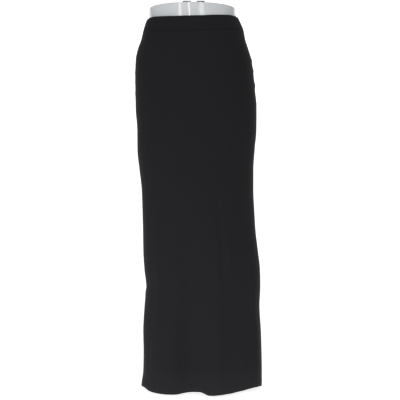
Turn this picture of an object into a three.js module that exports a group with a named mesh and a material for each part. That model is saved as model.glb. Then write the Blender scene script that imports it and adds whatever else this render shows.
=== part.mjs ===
// Maxi skirt of black jersey on a limbless waist and hip form, which stands on a pole and a base plate.
// Millimetres, +Z up. +X is to the right of someone facing the skirt, and the front faces -Y.
// The origin lies on the floor, under the middle of the base plate.
import * as THREE from "three";

// Cloth
const CLOTH_WALL = 1.6; // one layer of jersey
const BAND_WALL = 2.6; // the waistband, two layers over its elastic
const BAND_HEIGHT = 40;
const BAND_ROUNDING = 0.8; // how far the band's top edge is rounded on each face
const HEM_TURN_UP = 22; // height of the hem's turned-up layer
const HEM_WALL = 3;
const SEAM_GAP = 0.3; // between pieces that are sewn or screwed together
const FORM_GAP = 0.8; // between the form and the cloth that rests on it

// Form, pole and base
const RIM_HEIGHT = 1040.2; // top face of the form
const RIM_ROUNDING = 2;
const FORM_FOOT = 588; // underside of the form
const FOOT_ROUNDING = 42; // height over which the form's lower edge turns in
const FOOT_INSET = 20; // how far it has turned in at the underside
const FOOT_START = 20; // degrees of that turn that the first ring below the side has made
const SHOULDER_HEIGHT = 58; // below the rim, where the form's rings lie closer together
const INSET_CHANGE = 20; // height over which the form gives way to the waistband's thicker wall
const POLE_RADIUS = 12.5;
const FLANGE = { radius: 40, thickness: 6 };
const COLLAR = { radius: 22, height: 30, chamfer: 2 };
const BASE = { halfWidth: 132, halfDepth: 52, thickness: 12, chamfer: 3 };
const FITTING = { x: -15, radius: 38, thickness: 4, chamfer: 1 };
const LUG = { width: 23, depth: 8, height: 17.6, spacing: 38, corner: 2 };

// Facets
const COLUMNS = 72; // round the whole skirt
const FORM_COLUMNS = 36;
const FORM_ROWS = { rim: 3, shoulder: 9, side: 14, foot: 4 };
const PANEL_ROWS = 29;
const PANEL_CROWDING = 0.4; // how much closer the rows lie over the hips: 0 is evenly, 1 is by the square
const BAND_ROWS = 4;
const ROUND_SEGMENTS = 36;
const CORNER_SEGMENTS = 5;

// Rows of a table as objects, with the columns' names.
function table(columns, rows) {
  return rows.map((row) => Object.fromEntries(row.map((value, i) => [columns[i], value])));
}

// Outer face of the cloth at each height: its left and right edges, and how far it reaches to the front
// and back. Above the waistband the rows go on to the form's rim. Fullness 2 is an ellipse, more is squarer.
const SECTIONS = table(["z", "left", "right", "front", "back", "fullness"], [
  [-10, -159.2, 173.6, 100, 97, 2.4],
  [12, -158.2, 171.5, 100, 97, 2.4],
  [50, -153.4, 172.1, 99, 96, 2.4],
  [102, -152.6, 171.2, 98, 95, 2.4],
  [158, -153.6, 169.5, 97, 94, 2.35],
  [226, -150.1, 165.8, 96, 93, 2.3],
  [281, -145.8, 167.9, 95, 92, 2.3],
  [322, -150.2, 167.2, 95, 92, 2.25],
  [378, -153.6, 161.2, 95, 92, 2.2],
  [432, -154.4, 154.9, 95, 92, 2.15],
  [487, -155.9, 151.6, 95, 93, 2.1],
  [542, -157.8, 149.1, 96, 96, 2.1],
  [598, -164.0, 149.2, 97, 101, 2.1],
  [652, -169.6, 152.6, 99, 107, 2.1],
  [708, -170.2, 157.4, 101, 114, 2.1],
  [762, -174.2, 157.8, 103, 120, 2.1],
  [818, -175.4, 153.6, 103, 123, 2.1],
  [859, -175.8, 149.5, 102, 120, 2.1],
  [900, -174.2, 143.6, 99, 113, 2.1],
  [928, -168.5, 135.2, 96, 106, 2.1],
  [955, -158.8, 126.7, 92, 98, 2.1],
  [980, -153.2, 122.0, 88, 91, 2.05],
  [1002, -146.4, 113.0, 84, 85, 2],
  [1014, -141.6, 107.4, 81.5, 81.5, 2],
  [1024, -141.4, 104.3, 79.6, 79.4, 2],
  [1042, -141.4, 102.6, 79.2, 78.2, 2],
]);

// Height of the two cut edges round the skirt, in degrees: 0 is the right side, 90 the back, 270 the front.
const WAIST_EDGE = table(["angle", "z"], [
  [0, 1016], [40, 1017.5], [90, 1017], [140, 1016], [180, 1012], [195, 1008.5], [208, 1008.7],
  [230, 1005], [255, 1002], [275, 1002.4], [300, 1007], [325, 1012], [343, 1013], [360, 1016],
]);
const HEM_EDGE = table(["angle", "z"], [
  [0, 6.7], [30, 6], [60, 3.5], [93, 7], [125, 3], [155, 5], [180, 5.2], [193, 9], [204, 11.2], [212, 8.3],
  [218, 5.4], [228, 4.6], [240, 4.5], [247, 4.1], [252, 5.8], [258, 8.6], [264, 11.4], [268.5, 12],
  [272.5, 8.6], [276, 4.5], [280, 4.9], [284, 6.4], [290, 6.8], [296, 6.7], [304, 7.9], [312, 7.5],
  [320, 10.4], [328, 13], [338, 12.4], [348, 8.5], [360, 6.7],
]);

// Soft folds that run down the lower half: where each lies at the hem and at its top, how wide it is in
// degrees, how far it stands out at the hem, where troughs are negative, and the height where it dies out.
const FOLDS = table(["angle", "topAngle", "spread", "depth", "top"], [
  [236, 243, 12, 5, 430],
  [255.5, 260, 8.5, -14, 570],
  [284, 283, 9, 12, 560],
  [314, 315, 12, -14, 560],
  [44, 49, 12, -12, 550],
  [71, 74, 9, 9, 550],
  [93, 91, 9, -18, 590],
  [116, 112, 9, 8, 550],
  [139, 134, 12, -9, 510],
]);

// Reads one column of a table as a smooth curve that never overshoots its rows.
function curve(rows, along, column) {
  const at = rows.map((row) => row[along]);
  const value = rows.map((row) => row[column]);
  const last = at.length - 1;
  const slope = at.slice(1).map((edge, i) => (value[i + 1] - value[i]) / (edge - at[i]));
  const tangent = at.map((_, i) => {
    if (i === 0) return slope[0];
    if (i === last) return slope[last - 1];
    const product = slope[i - 1] * slope[i];
    return product > 0 ? (2 * product) / (slope[i - 1] + slope[i]) : 0;
  });
  return (place) => {
    const clamped = THREE.MathUtils.clamp(place, at[0], at[last]);
    const next = at.findIndex((edge, i) => i > 0 && edge >= clamped);
    const span = at[next] - at[next - 1];
    const t = (clamped - at[next - 1]) / span;
    const straight = value[next - 1] * (1 + 2 * t) * (1 - t) ** 2 + value[next] * t * t * (3 - 2 * t);
    return straight + span * t * (1 - t) * (tangent[next - 1] * (1 - t) - tangent[next] * t);
  };
}

const section = Object.fromEntries(
  ["left", "right", "front", "back", "fullness"].map((name) => [name, curve(SECTIONS, "z", name)]),
);
const waistEdge = curve(WAIST_EDGE, "angle", "z");
const hemEdge = curve(HEM_EDGE, "angle", "z");

// How far the folds move the cloth out at an angle and a height.
function foldDepth(angle, z) {
  return FOLDS.reduce((sum, fold) => {
    const grown = THREE.MathUtils.smoothstep(fold.top - z, 0, fold.top);
    const centre = THREE.MathUtils.lerp(fold.topAngle, fold.angle, grown);
    const away = (angle - centre) / fold.spread;
    return sum + fold.depth * grown * Math.exp(-away * away);
  }, 0);
}

// A point of the cloth's outer face.
function clothPoint(angle, z) {
  const turn = THREE.MathUtils.degToRad(angle);
  const [c, s] = [Math.cos(turn), Math.sin(turn)];
  const [left, right, power] = [section.left(z), section.right(z), section.fullness(z)];
  const half = (right - left) / 2;
  const depth = s < 0 ? section.front(z) : section.back(z);
  const squared = (Math.abs(c) ** power + Math.abs(s) ** power) ** (-1 / power);
  const out = new THREE.Vector2(c / half, s / depth).normalize().multiplyScalar(foldDepth(angle, z));
  return new THREE.Vector3((left + right) / 2 + half * c * squared + out.x, depth * s * squared + out.y, z);
}

// The same point moved in by a distance, square to the cloth.
function insidePoint(angle, z, distance) {
  const step = 0.5;
  const round = clothPoint(angle + step, z).sub(clothPoint(angle - step, z));
  const up = clothPoint(angle, z + step).sub(clothPoint(angle, z - step));
  return clothPoint(angle, z).addScaledVector(round.cross(up).normalize(), -distance);
}

// Builds a geometry from points and from corners that run anticlockwise, seen from outside.
function solid(points, quads, triangles = []) {
  const index = quads.flatMap(([a, b, c, d]) => [a, b, c, a, c, d]).concat(triangles.flat());
  const geometry = new THREE.BufferGeometry().setFromPoints(points);
  geometry.setIndex(index);
  geometry.computeVertexNormals();
  return geometry;
}

// A closed wall between two grids of points. Rows run down the cloth, and columns run round it, closed into a
// ring or not.
function wall(outer, inner, ring) {
  const [rows, columns] = [outer.length, outer[0].length];
  const points = [...outer.flat(), ...inner.flat()];
  const out = (r, c) => r * columns + (c % columns);
  const into = (r, c) => rows * columns + out(r, c);
  const spans = ring ? columns : columns - 1;
  const quads = [];
  for (let c = 0; c < spans; c++) {
    for (let r = 0; r < rows - 1; r++) {
      quads.push([out(r, c), out(r + 1, c), out(r + 1, c + 1), out(r, c + 1)]);
      quads.push([into(r, c), into(r, c + 1), into(r + 1, c + 1), into(r + 1, c)]);
    }
    quads.push([out(0, c), out(0, c + 1), into(0, c + 1), into(0, c)]);
    quads.push([out(rows - 1, c), into(rows - 1, c), into(rows - 1, c + 1), out(rows - 1, c + 1)]);
  }
  for (let r = 0; r < rows - 1 && !ring; r++) {
    const end = columns - 1;
    quads.push([out(r, 0), into(r, 0), into(r + 1, 0), out(r + 1, 0)]);
    quads.push([out(r, end), out(r + 1, end), into(r + 1, end), into(r, end)]);
  }
  return solid(points, quads);
}

// A closed body through rings of points, from the top one down, with a flat face at each end.
function loft(rings) {
  const columns = rings[0].length;
  const middle = (ring) =>
    ring.reduce((sum, point) => sum.add(point), new THREE.Vector3()).divideScalar(ring.length);
  const points = [...rings.flat(), middle(rings[0]), middle(rings.at(-1))];
  const at = (r, c) => r * columns + (c % columns);
  const [top, bottom] = [points.length - 2, points.length - 1];
  const [quads, triangles] = [[], []];
  for (let c = 0; c < columns; c++) {
    for (let r = 0; r < rings.length - 1; r++) {
      quads.push([at(r, c), at(r + 1, c), at(r + 1, c + 1), at(r, c + 1)]);
    }
    triangles.push([top, at(0, c), at(0, c + 1)]);
    triangles.push([bottom, at(rings.length - 1, c + 1), at(rings.length - 1, c)]);
  }
  return solid(points, quads, triangles);
}

// Evenly spaced numbers, both ends included.
function steps(from, to, count) {
  return Array.from({ length: count + 1 }, (_, i) => THREE.MathUtils.lerp(from, to, i / count));
}

// Degrees that cover a length along the cloth at the side seams, where the front and back meet.
function seamAngle(z, length) {
  return length / clothPoint(1, z).distanceTo(clothPoint(0, z));
}

// One of the two panels, from side seam to side seam and from just under the waistband to the hem. Its lower
// edge is turned up inside, so the wall is two layers thick there.
function panel(from, to) {
  const trim = seamAngle((RIM_HEIGHT + FORM_FOOT) / 2, SEAM_GAP / 2);
  const angles = steps(from, to, COLUMNS / 2).map((angle) =>
    THREE.MathUtils.clamp(angle, from + trim, to - trim),
  );
  const top = (angle) => waistEdge(angle) - BAND_HEIGHT - SEAM_GAP;
  const turnUp = (angle) => hemEdge(angle) + HEM_TURN_UP;
  const face = (depth, turned) => [
    ...steps(0, 1, PANEL_ROWS).map((t) => {
      const down = THREE.MathUtils.lerp(t, t * t, PANEL_CROWDING);
      const height = (angle) => THREE.MathUtils.lerp(top(angle), turnUp(angle), down);
      return angles.map((angle) => insidePoint(angle, height(angle), depth));
    }),
    angles.map((angle) => insidePoint(angle, turnUp(angle) - CLOTH_WALL, turned)),
    angles.map((angle) => insidePoint(angle, hemEdge(angle), turned)),
  ];
  return wall(face(0, 0), face(CLOTH_WALL, HEM_WALL), false);
}

// The waistband, a ring whose top edge is rounded.
function waistband() {
  const angles = steps(0, 360, COLUMNS).slice(0, -1);
  const downs = [0, BAND_ROUNDING * 1.5, ...steps(BAND_HEIGHT / BAND_ROWS, BAND_HEIGHT, BAND_ROWS - 1)];
  const face = (depth, rounding) =>
    downs.map((down) =>
      angles.map((angle) => insidePoint(angle, waistEdge(angle) - down, depth + (down ? 0 : rounding))),
    );
  return wall(face(0, BAND_ROUNDING), face(BAND_WALL, -BAND_ROUNDING), true);
}

// The form inside the cloth: the same sections moved in, with a rounded rim and a lower edge that turns in.
function formBody() {
  const angles = steps(0, 360, FORM_COLUMNS).slice(0, -1);
  const bandFoot = WAIST_EDGE[0].z - 2 * BAND_HEIGHT;
  const inset = (z) => {
    const underBand = THREE.MathUtils.smoothstep(z, bandFoot, bandFoot + INSET_CHANGE);
    return FORM_GAP + THREE.MathUtils.lerp(CLOTH_WALL, BAND_WALL, underBand);
  };
  const ring = (z, extra) => angles.map((angle) => insidePoint(angle, z, inset(z) + extra).setZ(z));
  const rim = steps(0, 90, FORM_ROWS.rim).map((turn) => {
    const lean = THREE.MathUtils.degToRad(turn);
    return ring(RIM_HEIGHT - RIM_ROUNDING * (1 - Math.cos(lean)), RIM_ROUNDING * (1 - Math.sin(lean)));
  });
  const shoulderTop = RIM_HEIGHT - RIM_ROUNDING;
  const shoulder = steps(shoulderTop, shoulderTop - SHOULDER_HEIGHT, FORM_ROWS.shoulder).slice(1);
  const footTop = FORM_FOOT + FOOT_ROUNDING;
  const side = [...shoulder, ...steps(shoulder.at(-1), footTop, FORM_ROWS.side).slice(1)];
  const foot = steps(FOOT_START, 90, FORM_ROWS.foot).map((turn) => {
    const lean = THREE.MathUtils.degToRad(turn);
    return ring(footTop - FOOT_ROUNDING * Math.sin(lean), FOOT_INSET * (1 - Math.cos(lean)));
  });
  return loft([...rim, ...side.map((z) => ring(z, 0)), ...foot]);
}

// A turned piece: a profile of radius and height pairs, spun about +Z. It starts and ends on the axis, or
// ends on its first point.
function turned(profile) {
  const points = profile.map(([radius, height]) => new THREE.Vector2(radius, height));
  return new THREE.LatheGeometry(points, ROUND_SEGMENTS).rotateX(Math.PI / 2);
}

function basePlate() {
  const { halfWidth, halfDepth, thickness, chamfer } = BASE;
  return turned([
    [0, 0],
    [halfWidth, 0],
    [halfWidth, thickness - chamfer],
    [halfWidth - chamfer, thickness],
    [0, thickness],
  ]).scale(1, halfDepth / halfWidth, 1);
}

function collar() {
  const { radius, height, chamfer } = COLLAR;
  const [bore, foot] = [POLE_RADIUS + SEAM_GAP, BASE.thickness + SEAM_GAP];
  const top = foot + height;
  return turned([
    [bore, foot],
    [radius, foot],
    [radius, top - chamfer],
    [radius - chamfer, top],
    [bore, top],
    [bore, foot],
  ]);
}

function pole() {
  const [foot, top] = [BASE.thickness + SEAM_GAP, FORM_FOOT - FLANGE.thickness - 2 * SEAM_GAP];
  return turned([[0, foot], [POLE_RADIUS, foot], [POLE_RADIUS, top], [0, top]]);
}

function flange() {
  const top = FORM_FOOT - SEAM_GAP;
  const foot = top - FLANGE.thickness;
  return turned([[0, foot], [FLANGE.radius, foot], [FLANGE.radius, top], [0, top]]);
}

// The metal fitting on top of the form: a round plate, and two upright lugs with rounded corners.
function fittingPlate() {
  const { x, radius, thickness, chamfer } = FITTING;
  const foot = RIM_HEIGHT + SEAM_GAP;
  const top = foot + thickness;
  return turned([
    [0, foot],
    [radius, foot],
    [radius, top - chamfer],
    [radius - chamfer, top],
    [0, top],
  ]).translate(x, 0, 0);
}

function lug(side) {
  const { width, depth, height, corner, spacing } = LUG;
  const outline = new THREE.Shape()
    .moveTo(-width / 2, 0)
    .lineTo(width / 2, 0)
    .lineTo(width / 2, height - corner)
    .quadraticCurveTo(width / 2, height, width / 2 - corner, height)
    .lineTo(corner - width / 2, height)
    .quadraticCurveTo(-width / 2, height, -width / 2, height - corner);
  const foot = RIM_HEIGHT + FITTING.thickness + 2 * SEAM_GAP;
  return new THREE.ExtrudeGeometry(outline, { depth, bevelEnabled: false, curveSegments: CORNER_SEGMENTS })
    .translate(0, 0, -depth / 2)
    .rotateX(Math.PI / 2)
    .translate(FITTING.x + (side * spacing) / 2, 0, foot);
}

const jersey = new THREE.MeshStandardMaterial({ color: 0x1f1f21, roughness: 0.95, metalness: 0 });
const gloss = new THREE.MeshStandardMaterial({ color: 0xc5c8ca, roughness: 0.18, metalness: 0 });
const steel = new THREE.MeshStandardMaterial({ color: 0x696a6e, roughness: 0.35, metalness: 1 });
const coat = new THREE.MeshStandardMaterial({ color: 0xdededf, roughness: 0.5, metalness: 0 });

const skirt = new THREE.Group();
function add(name, geometry, material) {
  const mesh = new THREE.Mesh(geometry, material);
  mesh.name = name;
  skirt.add(mesh);
}

add("front_panel", panel(180, 360), jersey);
add("back_panel", panel(0, 180), jersey);
add("waistband", waistband(), jersey);
add("form_body", formBody(), gloss);
add("fitting_plate", fittingPlate(), steel);
add("fitting_lug_left", lug(-1), steel);
add("fitting_lug_right", lug(1), steel);
add("pole_flange", flange(), steel);
add("pole", pole(), steel);
add("pole_collar", collar(), steel);
add("base_plate", basePlate(), coat);

export default skirt;
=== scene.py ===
"""Dresses the solid model of a maxi skirt on a hip form: jersey, sewing, lacquer, steel and a studio."""

import math

import bmesh
import bpy
import numpy as np
from bpy.props import FloatProperty, FloatVectorProperty, IntProperty, PointerProperty
from mathutils import Matrix, Vector


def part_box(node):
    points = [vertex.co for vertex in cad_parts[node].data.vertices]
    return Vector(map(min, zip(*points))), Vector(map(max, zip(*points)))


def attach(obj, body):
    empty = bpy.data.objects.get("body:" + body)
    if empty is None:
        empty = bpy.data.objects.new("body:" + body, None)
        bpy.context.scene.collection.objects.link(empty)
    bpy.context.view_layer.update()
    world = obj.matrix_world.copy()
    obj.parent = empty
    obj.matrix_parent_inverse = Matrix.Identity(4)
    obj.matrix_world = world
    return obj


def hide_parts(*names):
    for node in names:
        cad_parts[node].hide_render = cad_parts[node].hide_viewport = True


bl_info = {
    "name": "Maxi Skirt on a Hip Form",
    "version": (1, 0, 0),
    "blender": (4, 5, 0),
    "location": "3D View > Sidebar > Skirt",
    "description": "Models a black jersey maxi skirt, its hip form and stand, and the studio around them",
    "category": "Object",
}

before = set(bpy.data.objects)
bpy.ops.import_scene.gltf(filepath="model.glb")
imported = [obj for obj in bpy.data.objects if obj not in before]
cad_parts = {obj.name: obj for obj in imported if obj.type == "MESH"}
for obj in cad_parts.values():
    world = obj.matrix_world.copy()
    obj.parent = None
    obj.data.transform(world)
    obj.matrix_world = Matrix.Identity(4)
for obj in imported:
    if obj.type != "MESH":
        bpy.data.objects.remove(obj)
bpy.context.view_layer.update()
MM = 0.001


# Form of the cloth, in millimetres and degrees: 0 is the right side, 90 the back, 270 the front

SIDES = {"right": 0.0, "left": 180.0}  # where the side seams run
SOLID_WALL = 1.6  # the solids' cloth, which the form lies inside
SOLID_BAND_WALL = 2.6
SOLID_BAND_HEIGHT = 40
INSET_CHANGE = 20  # height over which the form gives way to the waistband's thicker wall
DEGREE_LENGTH = 2.6  # of cloth round the skirt


def table(columns, rows):
    """Rows of a table as dicts, with the columns' names."""
    return [dict(zip(columns, row)) for row in rows]


SECTIONS = table(
    ("z", "left", "right", "front", "back", "fullness"),
    (
        (-10, -159.2, 173.6, 100, 97, 2.4),
        (12, -158.2, 171.5, 100, 97, 2.4),
        (50, -153.4, 172.1, 99, 96, 2.4),
        (102, -152.6, 171.2, 98, 95, 2.4),
        (158, -153.6, 169.5, 97, 94, 2.35),
        (226, -150.1, 165.8, 96, 93, 2.3),
        (281, -145.8, 167.9, 95, 92, 2.3),
        (322, -150.2, 167.2, 95, 92, 2.25),
        (378, -153.6, 161.2, 95, 92, 2.2),
        (432, -154.4, 154.9, 95, 92, 2.15),
        (487, -155.9, 151.6, 95, 93, 2.1),
        (542, -157.8, 149.1, 96, 96, 2.1),
        (598, -164.0, 149.2, 97, 101, 2.1),
        (652, -169.6, 152.6, 99, 107, 2.1),
        (708, -170.2, 157.4, 101, 114, 2.1),
        (762, -174.2, 157.8, 103, 120, 2.1),
        (818, -175.4, 153.6, 103, 123, 2.1),
        (859, -175.8, 149.5, 102, 120, 2.1),
        (900, -174.2, 143.6, 99, 113, 2.1),
        (928, -168.5, 135.2, 96, 106, 2.1),
        (955, -158.8, 126.7, 92, 98, 2.1),
        (980, -153.2, 122.0, 88, 91, 2.05),
        (1002, -146.4, 113.0, 84, 85, 2),
        (1014, -141.6, 107.4, 81.5, 81.5, 2),
        (1024, -141.4, 104.3, 79.6, 79.4, 2),
        (1042, -141.4, 102.6, 79.2, 78.2, 2),
    ),
)
WAIST_EDGE = table(
    ("angle", "z"),
    (
        (0, 1016), (40, 1017.5), (90, 1017), (140, 1016), (180, 1012), (195, 1008.5), (208, 1008.7),
        (230, 1005), (255, 1002), (275, 1002.4), (300, 1007), (325, 1012), (343, 1013), (360, 1016),
    ),
)
HEM_EDGE = table(
    ("angle", "z"),
    (
        (0, 6.7), (30, 6), (60, 3.5), (93, 7), (125, 3), (155, 5), (180, 5.2), (193, 9), (204, 11.2),
        (212, 8.3), (218, 5.4), (228, 4.6), (240, 4.5), (247, 4.1), (252, 5.8), (258, 8.6), (264, 11.4),
        (268.5, 12), (272.5, 8.6), (276, 4.5), (280, 4.9), (284, 6.4), (290, 6.8), (296, 6.7), (304, 7.9),
        (312, 7.5), (320, 10.4), (328, 13), (338, 12.4), (348, 8.5), (360, 6.7),
    ),
)

# Folds that run down the lower half, as in the solids: a trough's depth is negative.
FOLDS = table(
    ("angle", "top_angle", "spread", "depth", "top"),
    (
        (236, 243, 12, 5, 430),
        (255.5, 260, 8.5, -14, 570),
        (284, 283, 9, 12, 560),
        (314, 315, 12, -14, 560),
        (44, 49, 12, -12, 550),
        (71, 74, 9, 9, 550),
        (93, 91, 9, -18, 590),
        (116, 112, 9, 8, 550),
        (139, 134, 12, -9, 510),
    ),
)

# Finer creases, too small for the solids. Slant 0 lies along the skirt's round and 90 hangs straight down.
# Length and width are how far the crease fades out along and across it.
CREASES = table(
    ("angle", "z", "slant", "length", "width", "depth"),
    (
        # small puckers at the right side seam, over the hip
        (359, 897, -8, 13, 5, 1.5),
        (1, 884, 8, 12, 6, -0.6),
        (358, 870, 6, 14, 5.5, 1.7),
        (2, 846, -7, 14, 7, -1.0),
        (359, 829, -5, 16, 5, 2.3),
        (358, 815, 10, 11, 5, -0.9),
        (1, 797, 5, 12, 6, 0.3),
        (358, 781, 4, 14, 6, 0.7),
        # a few at the left one
        (181, 862, 6, 13, 6, 0.6),
        (182, 808, -8, 13, 6, 0.7),
        (179, 838, 5, 12, 6, 0.7),
        (181, 304, -6, 18, 7, -0.8),
        (180, 276, 12, 20, 6, -1.5),
        (183, 262, -10, 24, 8, 1.0),
        # drag lines from the hips towards the front and back
        (214, 700, 68, 70, 14, -0.9),
        (232, 640, 78, 90, 16, 0.8),
        (323, 690, 112, 80, 15, -0.9),
        (306, 620, 100, 90, 17, 0.8),
        (148, 690, 70, 70, 15, -1.0),
        (33, 680, 110, 75, 15, -1.0),
        # shallow folds between the deep ones
        (225, 280, 90, 150, 12, 2.6),
        (248, 420, 86, 60, 8, 1.0),
        (289.5, 370, 89, 105, 6, -3.0),
        (297.5, 360, 90, 95, 8, 3.4),
        (310, 285, 90, 50, 6, -1.8),
        (270, 430, 86, 60, 9, 0.9),
        (331, 180, 95, 80, 9, 1.6),
        (343, 120, 86, 60, 8, -1.2),
        (200, 150, 94, 70, 9, 1.3),
        (213, 110, 86, 60, 8, -1.2),
        (29, 240, 94, 90, 9, 1.3),
        (57, 330, 86, 90, 8, -1.6),
        (82, 300, 92, 90, 7, 1.4),
        (104, 260, 88, 100, 8, -1.5),
        (127, 230, 93, 90, 9, -1.3),
        (154, 180, 86, 90, 9, 1.5),
        # the ease of the turned hem
        (222, 22, 80, 16, 7, 0.8),
        (247, 20, 96, 14, 6, -0.7),
        (272, 24, 88, 18, 6, 0.7),
        (295, 20, 84, 16, 6, -0.8),
        (309, 22, 92, 16, 6, 0.8),
        (335, 24, 95, 15, 7, -0.9),
        (350, 20, 84, 14, 6, 0.8),
        (18, 20, 95, 15, 6, -0.8),
        (37, 22, 85, 15, 7, 0.8),
        (64, 20, 92, 15, 6, 0.8),
        (101, 22, 88, 16, 6, -0.8),
        (131, 20, 84, 15, 6, 0.8),
        (162, 22, 94, 15, 7, -0.8),
    ),
)

# The panels' cuts, in metres. Each narrows towards the waist, so its area is less than width by length.
PANELS = table(
    ("name", "seam", "width", "length", "area"),
    (
        ("front_panel", SIDES["left"], 0.45, 1.01, 0.423),
        ("back_panel", SIDES["right"], 0.47, 1.01, 0.4418),
    ),
)

# How a panel's top edge runs up behind the waistband and rolls under its lower edge, and how that edge rolls.
PANEL_ROLL = table(("rise", "depth"), ((3, 1.75), (0.5, 1.7), (-0.1, 0.9), (-0.6, 0.3), (-1.4, 0.05)))
BAND_ROLL = table(("rise", "depth"), ((0, 0.6), (0.4, 0.2), (1.2, 0.03)))
SEAM_ROLL = table(("along", "depth"), ((0, 0.5), (0.4, 0.2), (1.0, 0.05), (2.0, 0)))

# Softboxes. Bearing is in degrees right of the camera and rise above the aim, which is a height in metres.
# Lean turns a box about its own axis.
LIGHTS = table(
    ("name", "bearing", "rise", "distance", "width", "height", "radiance", "aim", "lean"),
    (
        ("side_box", -74, 6, 2.4, 0.9, 1.3, 1.6, 0.5, 0),
        ("left_box", -50, 8, 2.4, 0.9, 1.3, 1.08, 0.5, 0),
        ("near_left_box", -21, 10, 2.4, 1.5, 1.3, 1.13, 0.55, 0),
        ("near_right_box", 19, 10, 2.4, 1.6, 1.3, 1.06, 0.55, 0),
        ("right_box", 50, 10, 2.4, 0.9, 1.3, 0.55, 0.55, 0),
        ("high_left_box", -27, 50, 2.2, 0.9, 0.9, 0.25, 0.7, 0),
        ("high_right_box", 25, 50, 2.2, 0.9, 0.9, 0.5, 0.7, 0),
        ("high_side_box", 60, 50, 2.2, 0.9, 0.9, 0.45, 0.7, 0),
        ("low_left_box", -45, -3, 1.5, 0.7, 0.22, 2.6, 0.2, 0),
        ("low_middle_box", 0, -3, 1.5, 0.7, 0.22, 2.3, 0.2, 0),
        ("low_right_box", 45, -3, 1.5, 0.7, 0.22, 1.5, 0.2, 0),
        ("left_strip", -24.9, 32, 2.2, 0.18, 2.0, 4.1, 1.03, 8),
        ("thin_strip", -7.2, 32, 2.2, 0.06, 1.9, 10.0, 1.03, 2.5),
        ("right_strip", 16.6, 32, 2.2, 0.26, 2.0, 2.8, 1.03, -2.7),
        ("top_light", 40, 74, 1.6, 1.6, 1.6, 1.0, 1.0, 0),
    ),
)


def curve(rows, along, column):
    """A smooth curve through one column of a table, which never overshoots its rows."""
    at = np.array([row[along] for row in rows], dtype=float)
    value = np.array([row[column] for row in rows], dtype=float)
    slope = np.diff(value) / np.diff(at)
    product = slope[:-1] * slope[1:]
    rising = product > 0
    inner = np.where(rising, 2 * product / np.where(rising, slope[:-1] + slope[1:], 1), 0)
    tangent = np.concatenate(([slope[0]], inner, [slope[-1]]))

    def read(place):
        place = np.clip(place, at[0], at[-1])
        i = np.clip(np.searchsorted(at, place) - 1, 0, len(at) - 2)
        span = at[i + 1] - at[i]
        t = (place - at[i]) / span
        straight = value[i] * (1 + 2 * t) * (1 - t) ** 2 + value[i + 1] * t * t * (3 - 2 * t)
        return straight + span * t * (1 - t) * (tangent[i] * (1 - t) - tangent[i + 1] * t)

    return read


section = {name: curve(SECTIONS, "z", name) for name in ("left", "right", "front", "back", "fullness")}
waist_edge = curve(WAIST_EDGE, "angle", "z")
hem_edge = curve(HEM_EDGE, "angle", "z")


def eased(value, low, high):
    """0 below low and 1 above high, with a soft start and end."""
    t = np.clip((value - low) / (high - low), 0, 1)
    return t * t * (3 - 2 * t)


def turn_from(angle, centre):
    """Degrees from a centre, the short way round."""
    return (np.asarray(angle) - centre + 180) % 360 - 180


def fold_depth(angle, z):
    """How far the folds move the cloth out, in millimetres."""
    total = np.zeros(np.broadcast(angle, z).shape)
    for fold in FOLDS:
        grown = eased(fold["top"] - z, 0, fold["top"])
        centre = fold["top_angle"] + (fold["angle"] - fold["top_angle"]) * grown
        total += fold["depth"] * grown * np.exp(-((turn_from(angle, centre) / fold["spread"]) ** 2))
    return total


def crease_depth(angle, z):
    """How far the finer creases move the cloth out, in millimetres."""
    total = np.zeros(np.broadcast(angle, z).shape)
    for crease in CREASES:
        slant = math.radians(crease["slant"])
        across, up = turn_from(angle, crease["angle"]) * DEGREE_LENGTH, z - crease["z"]
        along = (across * math.cos(slant) + up * math.sin(slant)) / crease["length"]
        beside = (up * math.cos(slant) - across * math.sin(slant)) / crease["width"]
        total += crease["depth"] * np.exp(-(along**2) - beside**2)
    return total


def outer_face(angle, z, creased):
    """Points of the cloth's outer face, in millimetres."""
    c, s = np.cos(np.radians(angle)), np.sin(np.radians(angle))
    left, right, power = section["left"](z), section["right"](z), section["fullness"](z)
    half = (right - left) / 2
    depth = np.where(s < 0, section["front"](z), section["back"](z))
    reach = (np.abs(c) ** power + np.abs(s) ** power) ** (-1 / power)
    out_x, out_y = c / half, s / depth
    length = np.hypot(out_x, out_y)
    move = fold_depth(angle, z) + (crease_depth(angle, z) if creased else 0)
    x = (left + right) / 2 + half * c * reach + out_x / length * move
    return np.stack((x, depth * s * reach + out_y / length * move, z + 0 * x), axis=-1)


def cloth_points(angle, z, depth, creased=True):
    """Points at a depth under the cloth's outer face, square to it, in metres, from arrays of one shape."""
    step = 0.4
    here = outer_face(angle, z, creased)
    around = outer_face(angle + step, z, creased) - outer_face(angle - step, z, creased)
    up = outer_face(angle, z + step, creased) - outer_face(angle, z - step, creased)
    normal = np.cross(around, up)
    normal /= np.linalg.norm(normal, axis=-1, keepdims=True)
    return (here - normal * np.asarray(depth)[..., None]) * MM


def folded(radius):
    """The half round of a folded edge: steps as pairs of how far in from the edge and how deep they lie."""
    lean = np.radians(np.linspace(30, 180, 6))
    return zip(radius * (1 - np.sin(lean)), radius * (1 - np.cos(lean)))


# Meshes


def corners(node):
    """The lowest and the highest corner of a CAD node's box, in metres."""
    return [Vector(corner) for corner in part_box(node)]


def keep(bm, name, material, node=None, smooth=True):
    """Turns a bmesh into a piece that rides on the part, and stands for a CAD node if one is named."""
    if smooth:
        for face in bm.faces:
            face.smooth = True
    mesh = bpy.data.meshes.new(name)
    bm.to_mesh(mesh)
    bm.free()
    mesh.materials.append(material)
    piece = bpy.data.objects.new(name, mesh)
    bpy.context.scene.collection.objects.link(piece)
    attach(piece, "root")
    if node:
        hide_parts(node)
    return piece


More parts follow.
